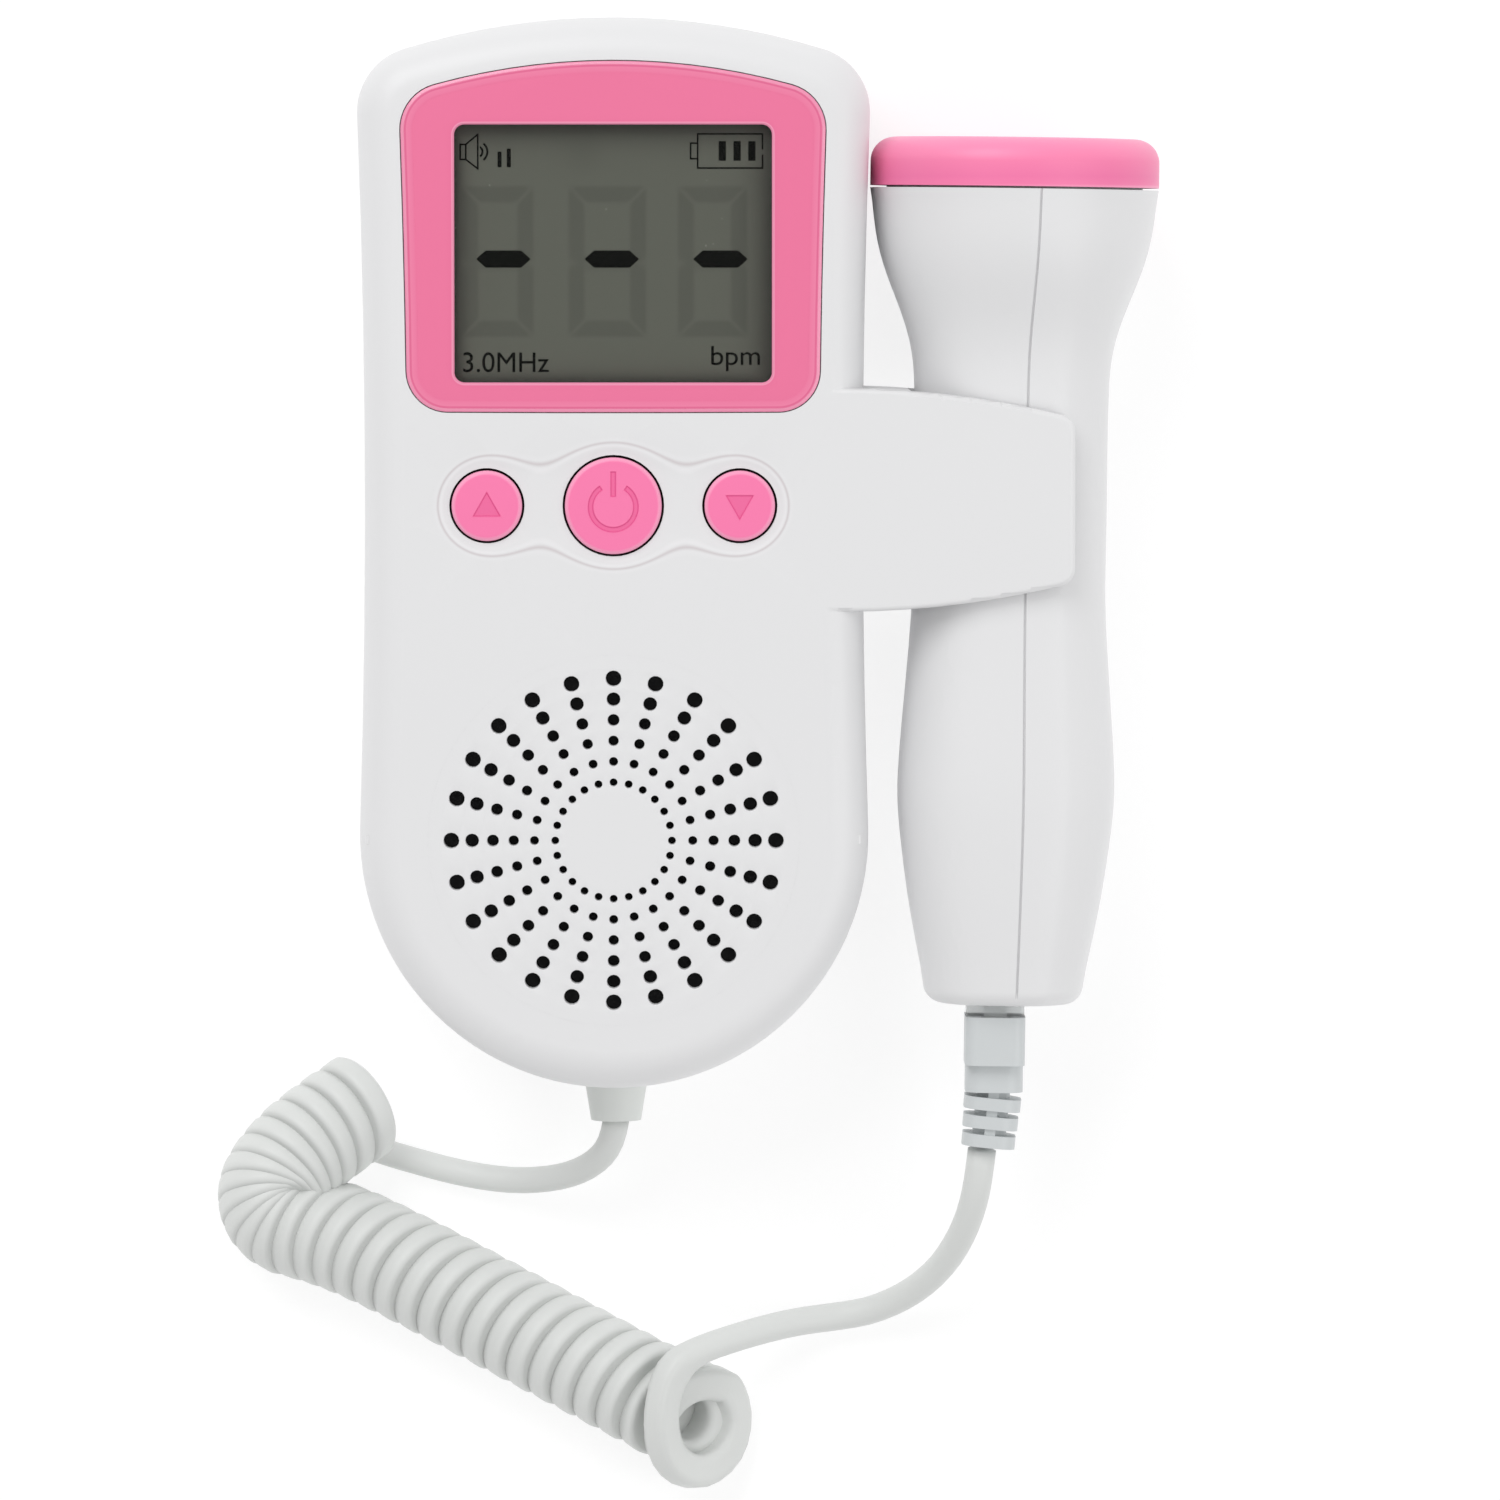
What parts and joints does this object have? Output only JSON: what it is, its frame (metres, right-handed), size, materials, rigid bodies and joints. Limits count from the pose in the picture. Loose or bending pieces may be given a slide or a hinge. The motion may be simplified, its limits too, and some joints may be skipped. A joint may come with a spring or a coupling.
{
  "type": "fetal doppler monitor",
  "caption": "Hand-held monitor with a display, push buttons and a speaker grille; a clip on its side holds a probe on a curly cord.",
  "frame": {"origin": "on the flat rear face that the unit lies on, on its centreline at mid-length", "axes": "+X across the unit towards the probe's clip, +Y along it towards the display end, +Z out of the face"},
  "size_m": [0.1315, 0.2036, 0.0403],
  "materials": {
    "housing": "satin white moulded plastic",
    "pink_gloss": "gloss pink plastic",
    "pink_matte": "soft pink silicone-like plastic",
    "lens": "clear acrylic",
    "display_glass": "dark grey-green liquid crystal",
    "inner_plastic": "plain moulded",
    "inner_rubber": "matte",
    "board": "green solder mask",
    "dark_plastic": "plain moulded",
    "can_metal": "bright",
    "screw_steel": "zinc plated",
    "cone_paper": "black paper",
    "magnet": "ferrite",
    "cloth": "black cloth",
    "cell": "plain sleeve",
    "contact_metal": "bright",
    "ceramic": "fired ceramic with silvered faces",
    "clear_plastic": "clear polycarbonate",
    "cord_rubber": "light grey, satin"
  },
  "bodies": {
    "monitor": {"front_cover": "housing", "rear_cover": "housing", "display_bezel": "pink_gloss", "display_lens": "lens", "lcd_glass": "display_glass", "lcd_holder": "inner_plastic", "lcd_connector": "inner_rubber", "main_board": "board", "board_chips": "dark_plastic", "board_capacitors": "can_metal", "board_crystal": "can_metal", "switch_cases": "dark_plastic", "board_screws": "screw_steel", "case_screws": "screw_steel", "speaker_frame": "screw_steel", "speaker_cone": "cone_paper", "speaker_magnet": "magnet", "grille_cloth": "cloth", "battery_cells": "cell", "battery_springs": "contact_metal", "battery_plates": "contact_metal", "cable_gland": "cord_rubber", "cord_lead_monitor": "cord_rubber", "cord_coil": "cord_rubber", "cord_lead_probe": "cord_rubber"},
    "power": {"power_button": "pink_matte", "power_plunger": "dark_plastic"},
    "volume_up": {"volume_up_button": "pink_matte", "volume_up_plunger": "dark_plastic"},
    "volume_down": {"volume_down_button": "pink_matte", "volume_down_plunger": "dark_plastic"},
    "door": {"battery_door": "housing"},
    "probe": {"probe_shell_left": "housing", "probe_shell_right": "housing", "probe_cap": "pink_gloss", "transducer_elements": "ceramic", "transducer_backing": "inner_rubber", "probe_board": "board", "probe_socket": "dark_plastic"},
    "plug": {"plug_body": "clear_plastic", "plug_contacts": "contact_metal", "plug_boot": "cord_rubber"}
  },
  "joints": [
    {"name": "power_press", "type": "slide", "parent": "monitor", "child": "power", "axis": [0, 0, -1], "range_m": [0, 0.0005], "stiffness_N_per_m": 1000, "springref_m": -0.001},
    {"name": "volume_up_press", "type": "slide", "parent": "monitor", "child": "volume_up", "axis": [0, 0, -1], "range_m": [0, 0.0005], "stiffness_N_per_m": 1000, "springref_m": -0.001},
    {"name": "volume_down_press", "type": "slide", "parent": "monitor", "child": "volume_down", "axis": [0, 0, -1], "range_m": [0, 0.0005], "stiffness_N_per_m": 1000, "springref_m": -0.001},
    {"name": "door_hinge", "type": "hinge", "parent": "monitor", "child": "door", "pos_m": [0, 0.0643, 0], "axis": [1, 0, 0], "range_deg": [0, 30]},
    {"name": "probe_unclip", "type": "slide", "parent": "monitor", "child": "probe", "axis": [1, 0, 0], "range_m": [0, 0.03], "deforming": ["cord_lead_probe"]},
    {"name": "plug_unplug", "type": "slide", "parent": "probe", "child": "plug", "axis": [-0.0129, -0.9999, 0], "range_m": [0, 0.012], "deforming": ["cord_lead_probe"]}
  ]
}
